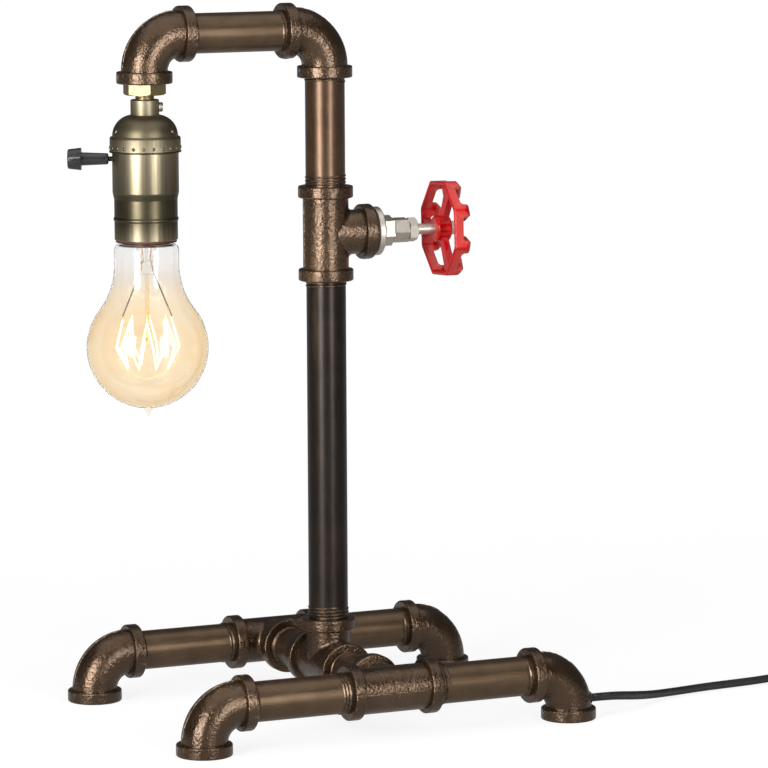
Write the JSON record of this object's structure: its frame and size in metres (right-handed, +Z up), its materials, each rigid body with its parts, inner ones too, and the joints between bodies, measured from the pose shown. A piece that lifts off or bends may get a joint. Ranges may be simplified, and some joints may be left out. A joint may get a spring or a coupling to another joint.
{
  "type": "industrial pipe table lamp",
  "caption": "Table lamp of screwed pipe on elbow feet: column with stop valve and red handwheel, arm with turn-switch lampholder and Victorian bulb, coiled flat cord.",
  "frame": {"origin": "on the floor, under the middle of the lamp's outline (base, arm, knob and bulb; the free cord isn't counted)", "axes": "+Z up, X along the rails with the arm towards -X and the handwheel towards +X, +Y to the rear; the picture looks from the front left"},
  "size_m": [0.5231, 0.2233, 0.3837],
  "materials": {
    "bronze_fitting": "gloss",
    "brown_pipe": "satin",
    "dark_pipe": "satin",
    "nickel": "polished",
    "red_paint": "gloss",
    "polished_brass": "polished",
    "bronzed_brass": "satin",
    "liner_red": "matte",
    "moulded_black": "gloss",
    "sheet_brass": "satin",
    "amber_glass": "polished",
    "clear_glass": "polished",
    "black_glass": "gloss",
    "solder": "satin",
    "wire_steel": "satin",
    "packing": "matte",
    "cord_black": "satin",
    "lit_filament": "satin"
  },
  "bodies": {
    "frame": {"foot_elbow_front_left": "bronze_fitting", "foot_elbow_front_right": "bronze_fitting", "foot_elbow_rear_left": "bronze_fitting", "foot_elbow_rear_right": "bronze_fitting", "rail_tee_front": "bronze_fitting", "rail_tee_rear": "bronze_fitting", "base_tee": "bronze_fitting", "column_tee": "bronze_fitting", "column_elbow": "bronze_fitting", "drop_elbow": "bronze_fitting", "rail_nipple_front_left": "brown_pipe", "rail_nipple_front_right": "brown_pipe", "rail_nipple_rear_left": "brown_pipe", "rail_nipple_rear_right": "brown_pipe", "cross_nipple_front": "brown_pipe", "cross_nipple_rear": "brown_pipe", "upper_nipple": "brown_pipe", "arm_nipple": "brown_pipe", "column_pipe": "dark_pipe", "valve_bonnet": "nickel", "packing_nut": "nickel", "hub_set_screw": "nickel", "gland_packing": "packing", "cord_grommet": "packing", "screw_shell": "sheet_brass", "centre_contact": "sheet_brass", "terminal_screw_live": "sheet_brass", "plug_blades": "sheet_brass", "hex_bushing": "polished_brass", "neck_tube": "polished_brass", "holder_hub": "bronzed_brass", "holder_cap": "bronzed_brass", "holder_shell": "bronzed_brass", "holder_liner": "liner_red", "switch_base": "moulded_black", "terminal_screw_neutral": "solder", "cord_lead": "cord_black", "cord_coil": "cord_black", "cord_tail": "cord_black", "plug_body": "cord_black"},
    "valve_disc": {"valve_disc": "sheet_brass"},
    "valve_wheel": {"valve_stem": "nickel", "handwheel": "red_paint", "wheel_nut": "nickel"},
    "switch": {"switch_cam": "moulded_black", "knob_shaft": "sheet_brass", "switch_knob": "moulded_black"},
    "bulb": {"bulb_glass": "amber_glass", "bulb_stem": "clear_glass", "bulb_rod": "amber_glass", "bulb_cap": "sheet_brass", "bulb_insulator": "black_glass", "bulb_contact": "solder", "support_wires": "wire_steel", "filament": "lit_filament"}
  },
  "joints": [
    {"name": "valve_lift", "type": "slide", "parent": "frame", "child": "valve_disc", "axis": [0.9976, -0.0698, 0], "range_m": [-0.0045, 0.002]},
    {"name": "valve_turn", "type": "hinge", "parent": "valve_disc", "child": "valve_wheel", "pos_m": [0.01102, 0, 0.26], "axis": [0.9976, -0.0698, 0], "range_deg": [-1080, 480]},
    {"name": "switch_turn", "type": "hinge", "parent": "frame", "child": "switch", "pos_m": [-0.09238, 0, 0.304], "axis": [-0.9085, 0.4179, 0], "continuous": true},
    {"name": "bulb_unscrew", "type": "slide", "parent": "frame", "child": "bulb", "axis": [0, 0, -1], "range_m": [0, 0.032]}
  ],
  "couplings": [
    {"joint": "valve_turn", "follows": "valve_lift", "rad_per_m": 4188.8}
  ]
}
